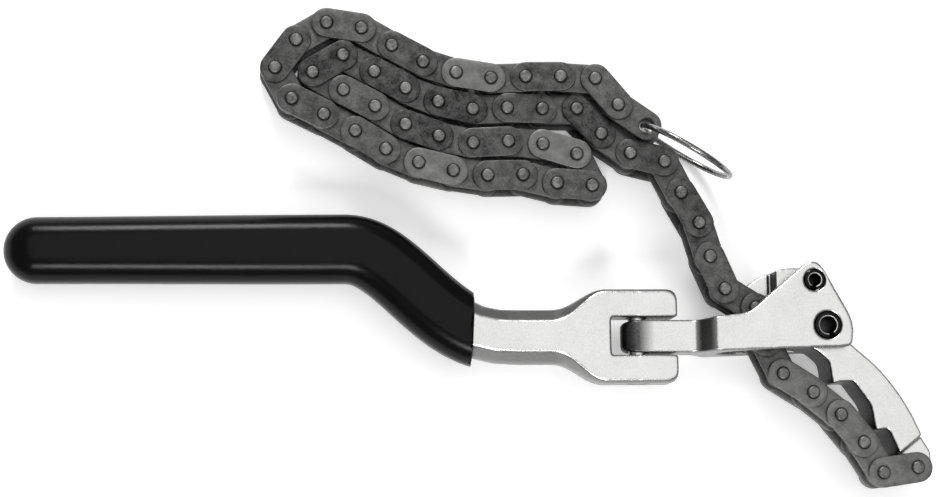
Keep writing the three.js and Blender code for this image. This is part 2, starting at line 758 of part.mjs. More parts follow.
export default wrench;
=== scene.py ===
# %% [markdown]
# # A chain wrench, dressed in Blender
# A chain wrench turns pipes: its roller chain goes round the pipe, and a toothed jaw bites as the
# handle is pulled. This one lies folded up, with the chain in a coil beside the handle. The CAD
# solids give each piece its place and size, and this script gives them their looks: satin chrome
# on the forgings, blackened steel on the chain, a glossy dip on the grip. Lengths are in metres,
# because the frame is, and small ones are written in millimetres times `MM`.

import json
import math

import bmesh
import bpy
import numpy as np
from mathutils import Matrix, Vector


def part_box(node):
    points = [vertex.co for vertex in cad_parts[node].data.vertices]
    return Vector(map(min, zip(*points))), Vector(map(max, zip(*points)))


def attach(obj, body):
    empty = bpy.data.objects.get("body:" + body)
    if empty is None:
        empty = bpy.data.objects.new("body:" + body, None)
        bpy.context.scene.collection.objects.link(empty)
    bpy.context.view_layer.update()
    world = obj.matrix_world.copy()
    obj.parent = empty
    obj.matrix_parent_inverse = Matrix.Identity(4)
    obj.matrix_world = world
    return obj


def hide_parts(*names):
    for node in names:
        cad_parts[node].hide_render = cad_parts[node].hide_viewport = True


MM = 0.001
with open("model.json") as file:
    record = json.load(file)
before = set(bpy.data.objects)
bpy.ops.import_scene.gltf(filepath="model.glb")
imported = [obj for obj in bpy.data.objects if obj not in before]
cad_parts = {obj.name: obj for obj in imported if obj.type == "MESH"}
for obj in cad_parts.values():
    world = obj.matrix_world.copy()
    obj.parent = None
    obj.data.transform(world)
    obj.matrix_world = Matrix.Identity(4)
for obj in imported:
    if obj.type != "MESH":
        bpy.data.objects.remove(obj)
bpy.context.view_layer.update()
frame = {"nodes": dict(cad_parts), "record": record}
nodes = frame["nodes"]
bodies = frame["record"]["behaviour"]["bodies"]
body_of_node = {node: body for body, members in bodies.items() for node in members}

# %% [markdown]
# ## Numbers that become nodes
# A finish is worked out from noise and colour, by nodes. They could be added and wired one by
# one, but then a plain sum takes ten lines. So a small class wraps a node's socket and gives it
# `+`, `-` and `*`, and an expression in Python adds its own Math nodes.


# %% Node arithmetic
class Signal:
    """A node socket that can be added, subtracted and multiplied like a number."""

    def __init__(self, graph, socket):
        self.graph = graph
        self.socket = socket

    def reckon(self, operation, *values, clamp=False):
        settings = {"operation": operation, "use_clamp": clamp}
        return self.graph.node("ShaderNodeMath", inputs=dict(enumerate(values)), **settings)

    def __add__(self, other):
        return self.reckon("ADD", self, other)

    def __sub__(self, other):
        return self.reckon("SUBTRACT", self, other)

    def __mul__(self, other):
        return self.reckon("MULTIPLY", self, other)

    def __radd__(self, other):
        return self.reckon("ADD", other, self)

    def __rsub__(self, other):
        return self.reckon("SUBTRACT", other, self)

    def __rmul__(self, other):
        return self.reckon("MULTIPLY", other, self)

    def __neg__(self):
        return self.reckon("MULTIPLY", self, -1.0)

    def __abs__(self):
        return self.reckon("ABSOLUTE", self)

    def between(self, low, high):
        """0 below low, 1 above high, and straight in between."""
        return self.reckon("MULTIPLY", self - low, 1 / (high - low), clamp=True)


# %% [markdown]
# ## One method for any node
# Nodes of every kind are added in the same order. Settings and a ramp's stops come first, because
# they can change which sockets a node has, and then each socket takes a value or a link. One
# method that keeps to this order serves materials and the room's light alike.


# %% Node graphs
class Graph:
    """A node tree, and one method that adds any node to it."""

    def __init__(self, owner):
        owner.use_nodes = True
        self.tree = owner.node_tree

    def feed(self, slot, value):
        """Gives a socket a plain value, or a link where the value is a signal."""
        if isinstance(value, Signal):
            self.tree.links.new(value.socket, slot)
        else:
            slot.default_value = value

    def node(self, kind, output=0, inputs=None, stops=(), **settings):
        """Adds a node, and gives back one of its outputs, by name or by number."""
        made = self.tree.nodes.new(kind)
        for key, value in settings.items():
            setattr(made, key, value)
        for number, colour in enumerate(stops):
            made.color_ramp.elements[number].color = (*colour, 1)
        for key, value in (inputs or {}).items():
            self.feed(made.inputs[key], value)
        return Signal(self, made.outputs[output])


# %% [markdown]
# ## What all finishes share
# Steel and vinyl both have a pattern that belongs to the piece and moves with it, so every noise
# is read at the piece's own Object coordinates. Wrapping a picture round each piece would need
# seams and a file. Noise needs neither, and it stays sharp close up.


# %% Finishes in general
# A Mix node has sockets of one name for numbers, vectors and colours. These are the colour ones.
MIX_FACTOR, MIX_FIRST, MIX_SECOND = 0, 6, 7
MIX_RESULT = 2


def grey(level, warmth=0.0):
    """A grey colour, made a little yellow by its warmth."""
    return (level, level, level - warmth)


class Finish(Graph):
    """A material with one Principled shader."""

    def __init__(self, name, **constants):
        self.material = bpy.data.materials.new(name)
        super().__init__(self.material)
        self.shader = self.tree.nodes["Principled BSDF"]
        self.place = self.node("ShaderNodeTexCoord", output="Object")
        for socket, value in constants.items():
            self.set(socket.replace("_", " "), value)

    def set(self, socket, value):
        self.feed(self.shader.inputs[socket], value)

    def noise(self, grain, detail=2.0, roughness=0.5):
        """Noise from 0 to 1 whose features are about grain metres wide."""
        inputs = {"Vector": self.place, "Scale": 1 / grain}
        inputs |= {"Detail": detail, "Roughness": roughness}
        return self.node("ShaderNodeTexNoise", inputs=inputs)

    def carried(self, name):
        """A number that the mesh carries at each of its corners."""
        return self.node("ShaderNodeAttribute", output="Fac", attribute_name=name)

    def colour(self, amount, dark, light):
        """A colour that goes from dark to light as amount goes from 0 to 1."""
        inputs = {"Fac": amount}
        return self.node("ShaderNodeValToRGB", output="Color", inputs=inputs, stops=(dark, light))

    def mix(self, amount, first, second):
        """A colour that goes from the first to the second as amount goes from 0 to 1."""
        inputs = {MIX_FACTOR: amount, MIX_FIRST: first, MIX_SECOND: second}
        return self.node("ShaderNodeMix", output=MIX_RESULT, inputs=inputs, data_type="RGBA")

    def bump(self, height, depth, strength):
        """Makes the surface look as if it rose by depth where height is 1."""
        inputs = {"Height": height, "Distance": depth, "Strength": strength}
        self.set("Normal", self.node("ShaderNodeBump", inputs=inputs))


# %% [markdown]
# ## Satin chrome
# Forged steel under chrome keeps a fine grain, so the plating looks like satin and not like a
# mirror. A smooth metal with some roughness would be too even. Here one noise, half a millimetre
# wide, drives colour, roughness and height together, so a pit is dark, rough and deep at once.
# The mesh carries a number for painted shade: where that rises, the chrome is painted nearly
# black, in place of a dark reflection, and it gets rougher too.

# %% Satin chrome
CAST_GRAIN = 0.55 * MM
CAST_DEPTH = 0.04 * MM
CHROME_CLOUD = 6 * MM
CHROME_GRAIN_SHARE = 0.7
CHROME_CONTRAST = (0.3, 0.72)
UNSHADED_CHROME = (grey(0.56, 0.005), grey(0.7, 0.005))
# Painted shade: the near-black chrome of walls and edges.
PAINTED_SHADE_CHROME = (grey(0.015), grey(0.09))
CHROME_ROUGHNESS = 0.2
GRAIN_ROUGHNESS = 0.14
SHADE_ROUGHNESS = 0.12


def forged_chrome():
    """Chrome from plain to nearly black, by the painted shade that the mesh carries."""
    finish = Finish("forged_chrome", Metallic=1.0)
    grain = finish.noise(CAST_GRAIN, detail=3.0, roughness=0.6)
    cloud = finish.noise(CHROME_CLOUD)
    # The mesh's number for painted shade.
    painted_shade = finish.carried("painted_shade")
    mottle = grain * CHROME_GRAIN_SHARE + cloud * (1 - CHROME_GRAIN_SHARE)
    mottle = mottle.between(*CHROME_CONTRAST)
    unshaded = finish.colour(mottle, *UNSHADED_CHROME)
    # Painted shade: the chrome is painted nearly black where that number rises.
    shade_colour = finish.colour(mottle, *PAINTED_SHADE_CHROME)
    finish.set("Base Color", finish.mix(painted_shade, unshaded, shade_colour))
    finish.set("Roughness", CHROME_ROUGHNESS + GRAIN_ROUGHNESS * grain + SHADE_ROUGHNESS * painted_shade)
    finish.bump(grain, CAST_DEPTH, strength=0.5)
    return finish.material


CHROME = forged_chrome()
print("chrome:", CHROME.name, "nodes:", len(CHROME.node_tree.nodes))

# %% [markdown]
# ## Blackened steel
# The chain and the spring pins are steel under black oxide, which wears thin in patches, and more
# on some links than on others. A material for each link would be 54 of them. Instead one recipe
# mixes a fine noise with a wider one, and each link's mesh brings its own number, which says how
# pale it is and, on a few links, adds a painted highlight along the plates' rims. With other
# colours and no such number, the recipe also makes pin heads, the black spring steel, and the
# painted highlight on the chamfer inside each spring pin.

# %% Blackened steel
OXIDE_GRAIN = 0.55 * MM
OXIDE_DEPTH = 0.03 * MM
OXIDE_CLOUD = 2.6 * MM
OXIDE_GRAIN_SHARE = 0.55
OXIDE_CONTRAST = (0.37, 0.63)
OXIDE_ROUGHNESS = (0.34, 0.2)
# The share of the mesh's number, which holds a link's tone and some painted rim highlight.
TONE_AND_HIGHLIGHT_SHARE = 0.6


def black_steel(name, dark, light, reads_tone_and_highlight=False):
    """Mottled steel between two colours. If asked, the mesh's own tone, with its painted rim
    highlight, has a share in it.
    """
    finish = Finish(name, Metallic=0.8)
    grain = finish.noise(OXIDE_GRAIN, detail=4.0, roughness=0.7)
    cloud = finish.noise(OXIDE_CLOUD, detail=3.0)
    amount = grain * OXIDE_GRAIN_SHARE + cloud * (1 - OXIDE_GRAIN_SHARE)
    amount = amount.between(*OXIDE_CONTRAST)
    if reads_tone_and_highlight:
        # A link's tone, with a painted highlight along the rims of a few links.
        amount = amount * (1 - TONE_AND_HIGHLIGHT_SHARE) + finish.carried("tone_and_highlight") * TONE_AND_HIGHLIGHT_SHARE
    finish.set("Base Color", finish.colour(amount, dark, light))
    finish.set("Roughness", OXIDE_ROUGHNESS[0] + OXIDE_ROUGHNESS[1] * grain)
    finish.bump(grain, OXIDE_DEPTH, strength=0.7)
    return finish.material


PLATE_STEEL = black_steel("black_plate", grey(0.008), grey(0.22, 0.004), reads_tone_and_highlight=True)
PIN_STEEL = black_steel("black_pin", grey(0.05, 0.002), grey(0.24, 0.005))
SPRING_STEEL = black_steel("spring_steel", grey(0.002), grey(0.012))
# Painted highlight: bright steel for the chamfer inside each spring pin.
CHAMFER_HIGHLIGHT = black_steel("painted_chamfer_highlight", grey(0.5, 0.01), grey(0.8, 0.01))
print("steels:", [steel.name for steel in (PLATE_STEEL, PIN_STEEL, SPRING_STEEL, CHAMFER_HIGHLIGHT)])

# %% [markdown]
# ## Dipped vinyl
# The grip is made by dipping the handle into liquid vinyl, which sets as a smooth skin with faint
# waves. Black on black shows no colour, so the eye sees only the shine. A wide ripple bends it
# and a fine skin softens it. The strength of the shine is the same all over, so it's a plain
# number on the shader.

# %% Dipped vinyl
VINYL_RIPPLE = 9 * MM
VINYL_SKIN = 0.9 * MM
VINYL_RELIEF = 0.12 * MM
VINYL_BLACK = (grey(0.0015), grey(0.003))
VINYL_ROUGHNESS = (0.2, 0.08)
RIPPLE_SHARE = 0.6


def dipped_vinyl():
    """Glossy black with faint waves."""
    finish = Finish("dipped_vinyl", Specular_IOR_Level=0.13)
    ripple = finish.noise(VINYL_RIPPLE, detail=1.0)
    skin = finish.noise(VINYL_SKIN, detail=3.0)
    finish.set("Base Color", finish.colour(skin, *VINYL_BLACK))
    finish.set("Roughness", VINYL_ROUGHNESS[0] + VINYL_ROUGHNESS[1] * ripple)
    finish.bump(RIPPLE_SHARE * ripple + (1 - RIPPLE_SHARE) * skin, VINYL_RELIEF, strength=0.5)
    return finish.material


VINYL = dipped_vinyl()
print("vinyl:", VINYL.name)

# %% [markdown]
# ## Drawn wire
# The pull ring is bare wire, bright where fingers rub it and grey in the marks left by the
# drawing die. The chrome's recipe would do, but a wire has no grease and hardly any height to its
# marks, so a noise for colour and roughness is enough.

# %% Drawn wire
WIRE_GRAIN = 0.5 * MM
WIRE_CONTRAST = (0.3, 0.7)
WIRE_GREY = (grey(0.1), grey(0.4, 0.005))
WIRE_ROUGHNESS = (0.16, 0.12)


def drawn_wire():
    """Bright wire with darker flecks."""
    finish = Finish("drawn_wire", Metallic=1.0)
    grain = finish.noise(WIRE_GRAIN, detail=3.0)
    finish.set("Base Color", finish.colour(grain.between(*WIRE_CONTRAST), *WIRE_GREY))
    finish.set("Roughness", WIRE_ROUGHNESS[0] + WIRE_ROUGHNESS[1] * grain)
    return finish.material


WIRE = drawn_wire()
print("wire:", WIRE.name)

# %% [markdown]
# ## Making a piece
# Every piece ends the same way. Its mesh becomes an object at the origin, with its place in the
# mesh, takes its finishes, rides on the body of the CAD node that it stands for, and hides that
# node. One function does this, so that no piece can miss a step.


# %% Pieces
def in_scene(name, data):
    """A new object in the scene, at the origin."""
    obj = bpy.data.objects.new(name, data)
    bpy.context.scene.collection.objects.link(obj)
    return obj


def piece(name, mesh, finishes, stands_for):
    """Puts a mesh in the place of the CAD nodes that it stands for."""
    obj = in_scene(name, mesh)
    for finish in finishes:
        mesh.materials.append(finish)
    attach(obj, body_of_node[stands_for[0]])
    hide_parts(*stands_for)


def mesh_from(work, name, smooth_below=35):
    """Turns a bmesh into a mesh whose normals point out and whose gentle edges shade smooth."""
    bmesh.ops.recalc_face_normals(work, faces=work.faces)
    for face in work.faces:
        face.smooth = True
    limit = math.radians(smooth_below)
    for edge in work.edges:
        edge.smooth = len(edge.link_faces) < 2 or edge.calc_face_angle(0) < limit
    mesh = bpy.data.meshes.new(name)
    work.to_mesh(mesh)
    work.free()
    return mesh


# %% [markdown]
# ## Outlines
# Chain plates are stamped, and pins and rollers are cut from rod, so each is drawn first as a
# flat outline. All of these are made of arcs. The number of steps is kept low on the chain,
# because there are 54 links and each is seen from far off.


# %% Outlines
def arc(centre, radius, start, end, steps):
    """Points on an arc in the plane, from one heading in degrees to another."""
    turns = [math.radians(start + (end - start) * step / steps) for step in range(steps + 1)]
    return [(centre[0] + radius * math.cos(t), centre[1] + radius * math.sin(t)) for t in turns]


def circle(centre, radius, sides):
    """Points round a whole circle, each once."""
    return arc(centre, radius, 0, 360 - 360 / sides, sides - 1)


def closed_loop(work, places):
    """New edges through the places and back to the first."""
    corners = [work.verts.new(place) for place in places]
    return [work.edges.new(pair) for pair in zip(corners, corners[1:] + corners[:1])]


# %% [markdown]
# ## Slabs with soft rims
# A plate or a pin leaves the tumbling barrel with its rims rounded, and the thin bright line
# along a rim is what makes metal look real. A cylinder with a bevel would do for a pin, but a
# plate has two holes. So every slab goes one way: fill the outline and its holes, pull the face
# up, and bevel the rims where flats meet walls.


# %% Slabs
def of_kind(kind, items):
    """Of the items that an operator gave back, only its faces, edges or corners."""
    return [item for item in items if isinstance(item, kind)]


def soften(work, edges, width, segments):
    """Rounds edges with a bevel."""
    bmesh.ops.bevel(
        work, geom=edges, offset=width, segments=segments, affect="EDGES", profile=0.5, material=-1
    )


def add_slab(work, outline, holes, low, high, bevel, material=0, segments=2):
    """Adds a flat slab with rounded rims, between two levels."""
    loops = []
    for points in (outline, *holes):
        loops += closed_loop(work, [(x, y, low) for x, y in points])
    filled = bmesh.ops.triangle_fill(work, edges=loops, use_beauty=True, use_dissolve=False)
    base = of_kind(bmesh.types.BMFace, filled["geom"])
    raised = bmesh.ops.extrude_face_region(work, geom=base, use_keep_orig=True)
    roof = of_kind(bmesh.types.BMFace, raised["geom"])
    lifted = {corner for face in roof for corner in face.verts}
    bmesh.ops.translate(work, verts=list(lifted), vec=(0, 0, high - low))
    flats = {*base, *roof}
    rims = [edge for edge in work.edges if sum(face in flats for face in edge.link_faces) == 1]
    for face in flats.union(*(edge.link_faces for edge in rims)):
        face.material_index = material
    soften(work, rims, bevel, segments)


# %% [markdown]
# ## Sizes of the chain
# Roller chain is made to a standard, so its pitch, the way from pin to pin, goes with one width
# of plate and one size of roller. The levels are measured from the chain's middle plane: the
# inner plates stand next to the rollers, the outer plates over them, and the riveted pins stand
# out a little on both sides. A gap of a tenth of a millimetre round each pin draws a dark ring.

# %% Chain sizes
PITCH = 9.525 * MM
PLATE_RADIUS = 4.05 * MM
INNER_PLATE = (2.86 * MM, 4.16 * MM)
OUTER_PLATE = (4.36 * MM, 5.4 * MM)
PIN_RADIUS = 1.66 * MM
PIN_REACH = 6.15 * MM
PIN_HOLE = 1.76 * MM
BUSH_HOLE = 2.05 * MM
ROLLER_RADIUS = 3.17 * MM
RIM = 0.3 * MM
RIVET_RIM = 1.6 * RIM
LINK_ENDS = ((-PITCH / 2, 0), (PITCH / 2, 0))
print("pitch:", PITCH / MM, "mm, gap round a pin:", round((PIN_HOLE - PIN_RADIUS) / MM, 2), "mm")

# %% [markdown]
# ## The chain's two links
# A roller chain has links of two kinds in turn. An outer link is two plates with two riveted pins
# through them. An inner link is two plates pressed on two bushes, and a roller turns on each
# bush. The CAD links are plain, so each gives way to a finer one. All outer links are alike and
# so are all inner links, so two meshes are made, about their own middle, and copied.

# %% Link meshes
PLATE_STEPS, HOLE_SIDES, PIN_SIDES, ROLLER_SIDES = 14, 16, 20, 24


def link_mesh(kind):
    """An outer or inner link about its own middle: X along it, Z along its pins."""
    work = bmesh.new()
    left, right = LINK_ENDS
    outline = arc(right, PLATE_RADIUS, -90, 90, PLATE_STEPS)
    outline += arc(left, PLATE_RADIUS, 90, 270, PLATE_STEPS)
    hole = PIN_HOLE if kind == "outer" else BUSH_HOLE
    low, high = OUTER_PLATE if kind == "outer" else INNER_PLATE
    holes = [circle(end, hole, HOLE_SIDES) for end in LINK_ENDS]
    for bottom, top in ((low, high), (-high, -low)):
        add_slab(work, outline, holes, bottom, top, RIM)
    for end in LINK_ENDS:
        if kind == "outer":
            pin = circle(end, PIN_RADIUS, PIN_SIDES)
            add_slab(work, pin, [], -PIN_REACH, PIN_REACH, RIVET_RIM, material=1, segments=3)
        else:
            roller = circle(end, ROLLER_RADIUS, ROLLER_SIDES)
            bush = circle(end, BUSH_HOLE, HOLE_SIDES)
            add_slab(work, roller, [bush], -low, low, RIM)
    return mesh_from(work, kind)


templates = {kind: link_mesh(kind) for kind in ("outer", "inner")}
print("faces in a link:", {kind: len(mesh.polygons) for kind, mesh in templates.items()})

# %% [markdown]
# ## Corners of a CAD node
# A CAD node's mesh is loose triangles: each has three corners of its own, so one place is there
# many times. Counted like that, places would pull at any average. The node itself is left alone,
# and a copy of it has its doubles merged.

# %% Merged copies
MERGE_DISTANCE = 0.002 * MM


def merged_copy(node):
    """A bmesh copy of a CAD node, whose loose triangles are joined at their corners."""
    work = bmesh.new()
    work.from_mesh(nodes[node].data)
    bmesh.ops.remove_doubles(work, verts=work.verts, dist=MERGE_DISTANCE)
    return work


def node_corners(node):
    """The places of a CAD node's corners, each once."""
    work = merged_copy(node)
    places = np.array([corner.co for corner in work.verts])
    work.free()
    return places


loose, merged = len(nodes["jaw"].data.vertices), len(node_corners("jaw"))
print("corners of the jaw:", loose, "merged:", merged)

# %% [markdown]
# ## Where each link lies
# The chain is folded by hand, so its links lie at no round angles. Their places could be listed,
# but the CAD nodes already hold them, and so a link's frame is read from its node. A link's
# corners are symmetric about three planes, which makes the main axes of their scatter the axes of
# the link: the longest lies along it, and the one that is nearest to upright lies along its pins.


# %% Link frames
def main_axes(places):
    """The axes of a cloud of places, from the one it's longest along to the thinnest."""
    return np.linalg.eigh(np.cov((places - places.mean(axis=0)).T))[1].T[::-1]


def frame_from(along, up, middle):
    """A frame at a place, with X along one direction and Z as near as it can be to another."""
    along = along.normalized()
    up = (up - along * up.dot(along)).normalized()
    turned = Matrix((along, up.cross(along), up)).transposed().to_4x4()
    return Matrix.Translation(middle) @ turned


def link_frame(node):
    """The frame of a link: X along it, Z up along its pins."""
    places = node_corners(node)
    axes = main_axes(places)
    spread = places @ axes.T
    middle = Vector((spread.min(axis=0) + spread.max(axis=0)) / 2 @ axes)
    up = Vector(max(axes, key=lambda axis: abs(axis[2])))
    return frame_from(Vector(axes[0]), up if up.z > 0 else -up, middle)


order = [f"{kind}_link_{number:02d}" for number in range(1, 28) for kind in ("outer", "inner")]
frames = {name: link_frame(name) for name in order if name in nodes}
print("links:", len(order), "frames read:", len(frames))

# %% [markdown]
# ## Links at the sharp folds
# At two sharp folds of the coil, the CAD has an outer and an inner link as one solid, so neither
# has a frame of its own to read. But their far pins are those of the links next to them, and the
# pin that they share lies one pitch from both. That leaves two places for it, one on each side,
# and the right one is nearer to the solid's middle.

# %% Frames at the folds
LINK_PAIRS = {
    "inner_link_16": "coil_turn_right",
    "outer_link_17": "coil_turn_right",
    "inner_link_21": "coil_turn_left",
    "outer_link_22": "coil_turn_left",
}


def nearest(places, centre):
    """The one of the places that is nearest to the centre."""
    return min(places, key=lambda place: (place - centre).length)


def link_pins(placed):
    """Where the two pins of a placed link are."""
    return [placed @ Vector((*end, 0)) for end in LINK_ENDS]


def pair_frames(node, before, after):
    """Frames of two joined links, from the frames of the links next to them."""
    centre = Vector(node_corners(node).mean(axis=0))
    start = nearest(link_pins(before), centre)
    end = nearest(link_pins(after), centre)
    up_before, up_after = before.col[2].xyz, after.col[2].xyz
    side = (up_before + up_after).normalized().cross(end - start).normalized()
    middle = (start + end) / 2
    reach = math.sqrt(PITCH**2 - ((end - start).length / 2) ** 2)
    shared = nearest((middle + side * reach, middle - side * reach), centre)
    first = frame_from(shared - start, up_before, (start + shared) / 2)
    second = frame_from(end - shared, up_after, (shared + end) / 2)
    return first, second


for first, second in zip(order, order[1:]):
    if first in LINK_PAIRS and LINK_PAIRS[first] == LINK_PAIRS.get(second):
        before = frames[order[order.index(first) - 1]]
        after = frames[order[order.index(second) + 1]]
        frames[first], frames[second] = pair_frames(LINK_PAIRS[first], before, after)
        print("fold:", first, second)

# %% [markdown]
# ## How worn each link is
# No two links have worn alike. Most are a middling black, a few are nearly bare steel, and a few
# have kept all their oxide. The common ones take a random tone from a fixed seed, so that it's
# the same in each run, and the odd ones are named, because they're where the photograph has
# them. On some links, the outer edges of the plates also get a painted highlight.

# %% Wear
WEAR_SEED = 6
COMMON_TONES = (0.14, 0.4)
DARK_TONE = 0.0
DARK_LINKS = ("outer_link_08", "outer_link_10", "outer_link_11", "outer_link_12", "outer_link_14")
PALE_TONE = 0.75
PALE_LINKS = ("outer_link_01", "outer_link_02", "outer_link_03", "outer_link_16", "outer_link_19",
              "outer_link_25", "inner_link_01", "inner_link_02")
rng = np.random.default_rng(WEAR_SEED)


def link_tone(name):
    """How pale a link's steel is, from 0 to 1. It draws one number for every link."""
    common = float(rng.uniform(*COMMON_TONES))
    return DARK_TONE if name in DARK_LINKS else PALE_TONE if name in PALE_LINKS else common


print("dark links:", len(DARK_LINKS), "pale links:", len(PALE_LINKS))

# %% [markdown]
# ## Painted rim highlights
# On a few links, the outer edges of the plates are painted bright: a painted highlight where a
# rounded rim would catch the light. An edge can't have a finish of its own, but each corner of a
# mesh can carry a number, and the finish reads it smoothly between the corners. So the corners
# at the outer edges of those plates get a higher tone.

# %% Painted rim highlights
# Painted highlight along the plates' outer rims of the named links.
RIM_HIGHLIGHT = 0.7
RIM_BAND = 0.8 * RIM
RIM_HIGHLIGHT_LINKS = ("outer_link_26", "outer_link_15", "outer_link_09", "outer_link_16",
                  "outer_link_21")


def corner_values(mesh, key):
    """The place, as co, or the normal of every corner of a mesh, in rows of three."""
    values = np.empty(3 * len(mesh.vertices))
    mesh.vertices.foreach_get(key, values)
    return values.reshape(-1, 3)


def on_rim(mesh):
    """1 at the outer edge of a link's plates, 0 elsewhere. The link lies about its own middle."""
    places = corner_values(mesh, "co")
    beyond = places[:, 0] - np.clip(places[:, 0], -PITCH / 2, PITCH / 2)
    reach = np.hypot(beyond, places[:, 1])
    return (reach > PLATE_RADIUS - RIM_BAND).astype(np.float32)


def carry(mesh, name, values):
    """Gives a mesh a number at each of its corners, for its finish to read."""
    mesh.attributes.new(name, "FLOAT", "POINT").data.foreach_set("value", values)


print("corners on an outer link's rim:", int(on_rim(templates["outer"]).sum()))


# %% [markdown]
# ## Placing the links
# With a mesh, a frame and a tone for every link, the chain can be laid. Each link is a copy of
# one of the two meshes, and its frame goes into the copy and not onto the object, so that the
# object stays at the origin. At a fold, both links stand for the one solid that holds them.

# %% Place the links
for name in order:
    mesh = templates[name.split("_")[0]].copy()
    tones_and_highlights = np.full(len(mesh.vertices), link_tone(name), np.float32)
    # Painted highlight: the rims of a few links are painted brighter.
    if name in RIM_HIGHLIGHT_LINKS:
        tones_and_highlights += RIM_HIGHLIGHT * on_rim(mesh)
    mesh.transform(frames[name])
    carry(mesh, "tone_and_highlight", tones_and_highlights)
    stands_for = [LINK_PAIRS.get(name, name)]
    piece(f"fine_{name}", mesh, [PLATE_STEEL, PIN_STEEL], stands_for)
ends = frames[order[0]].translation, frames[order[-1]].translation
print("links placed:", len(order), "from", ends[0], "to", ends[1])

# %% [markdown]
# ## Soft edges on the forgings
# Hot steel fills its die softly, so no edge of a forging is sharp. A bevel would do for a box,
# but these solids have edges that meet at every angle. So a merged copy of the CAD solid is cut
# into small cells and smoothed a few times, which rounds its edges and leaves its flats flat.

# %% Rounding
SMOOTHING = 0.5


def rounded_mesh(node, cell, passes):
    """A copy of a CAD node, rebuilt in small cells and smoothed."""
    work = merged_copy(node)
    mesh = bpy.data.meshes.new("merged")
    work.to_mesh(mesh)
    work.free()
    holder = in_scene("rounding", mesh)
    cells = holder.modifiers.new("cells", "REMESH")
    cells.mode = "VOXEL"
    cells.voxel_size = cell
    cells.use_smooth_shade = True
    soft = holder.modifiers.new("soft", "SMOOTH")
    soft.factor = SMOOTHING
    soft.iterations = passes
    bpy.context.view_layer.update()
    evaluated = holder.evaluated_get(bpy.context.evaluated_depsgraph_get())
    rounded = bpy.data.meshes.new_from_object(evaluated)
    rounded.materials.clear()
    bpy.data.objects.remove(holder)
    return rounded


# %% [markdown]
# ## Painted shade on the chrome
# The edges and walls of the chrome are painted darker than its flats: painted shade, in place of
# the dark that they would reflect. A mask for that could be painted by hand. Here it's worked
# out from the way each corner faces: one that faces straight up or down is on a flat, and one
# that leans is on an edge or a wall. So the painted shade follows the shape, also when the shape
# changes.

# %% Painted shade on walls
# How much painted shade walls and edges get, by the way they face.
FLAT_FACING = 0.96
WALL_FACING = 0.6
WALL_SHADE = 0.6


def add_painted_shade(mesh, extra):
    """Painted shade: walls and edges darker than flats, and some places darker still."""
    places, normals = corner_values(mesh, "co"), corner_values(mesh, "normal")
    upright = np.abs(normals[:, 2])
    steep = np.clip((FLAT_FACING - upright) / (FLAT_FACING - WALL_FACING), 0, 1)
    # Painted shade on walls and edges, and more where extra gives it.
    painted_shade = np.maximum(WALL_SHADE * steep, extra(places, normals, steep))
    carry(mesh, "painted_shade", np.clip(painted_shade, 0, 1).astype(np.float32))


# %% [markdown]
# ## More painted shade
# Some places get more painted shade than the other walls: the walls of the jaw that face the
# chain, and the yoke round its eye and on the step between its neck and its cheeks. Each of
# these is a rule about where a corner is and which way it faces, so each is a function, and a
# forging is given the one it needs.

# %% More painted shade
# Where the jaw and the yoke get more painted shade.
TOWARD_CHAIN = (-0.83, -0.56, 0)
CHAIN_SIDE_GAIN = 1.6
EYE_SHADE = 0.95
EYE_DARK_REACH = 8.6 * MM
STEP_START = 19.5 * MM
STEP_END = 25 * MM
STEP_GAIN = 1.5
STEP_FADE = 0.25


def no_extra(places, normals, steep):
    """The handle gets no more painted shade than its walls have."""
    return np.zeros(len(places))


def chain_side(places, normals, steep):
    """Painted shade: the walls of the jaw that face the chain are painted black."""
    return steep * np.clip(CHAIN_SIDE_GAIN * (normals @ np.array(TOWARD_CHAIN)), 0, 1)


def eye_and_step(places, normals, steep):
    """Painted shade: black round the yoke's eye, and on the step between its neck and its cheeks.
    """
    from_end = places[:, 0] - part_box("yoke")[0].x
    eye = EYE_SHADE * np.clip((EYE_DARK_REACH - from_end) / (EYE_DARK_REACH / 2), 0, 1)
    up_step = np.clip((from_end - STEP_START) / (STEP_END - STEP_START), 0, 1)
    step = steep * np.clip(-STEP_GAIN * normals[:, 0], 0, 1) * (from_end < STEP_END)
    return np.maximum(eye, step * (1 - STEP_FADE * up_step))


# %% [markdown]
# ## The three forgings
# Yoke, jaw and handle go through the same two steps. The cell is small enough to keep the jaw's
# teeth and the yoke's slots, and more passes make rounder edges: the yoke has more of them
# because its cells are the smallest.

# %% Yoke, jaw and handle
# Each has the size of its cells, how often it's smoothed, and where it gets more painted shade.
FORGINGS = (
    ("yoke", 0.28 * MM, 26, eye_and_step),
    ("jaw", 0.3 * MM, 18, chain_side),
    ("handle_forging", 0.34 * MM, 20, no_extra),
)
for name, cell, passes, extra in FORGINGS:
    shape = rounded_mesh(name, cell, passes)
    # Painted shade on the walls and edges of the forging.
    add_painted_shade(shape, extra)
    piece(f"forged_{name}", shape, [CHROME], [name])
    print(name, "faces:", len(shape.polygons))

# %% [markdown]
# ## The line of the grip
# The grip is a sock of vinyl over the tang, and follows the crank of the handle: straight, an
# S-bend, and straight again. A curve with handles could give the line. A formula is easier to
# fit: a soft step from one side to the other, pulled a little towards the nose. The places are
# measured from the clevis pin along the handle, where the grip's nose is at the negative end.

# %% Line of the grip
NOSE = -167.8 * MM
NOSE_DIP = 0.5 * MM
BEND = (-78.8 * MM, -32.1 * MM)
BEND_SKEW = 0.83
CRANK = 23.75 * MM
PROBE = 0.1 * MM


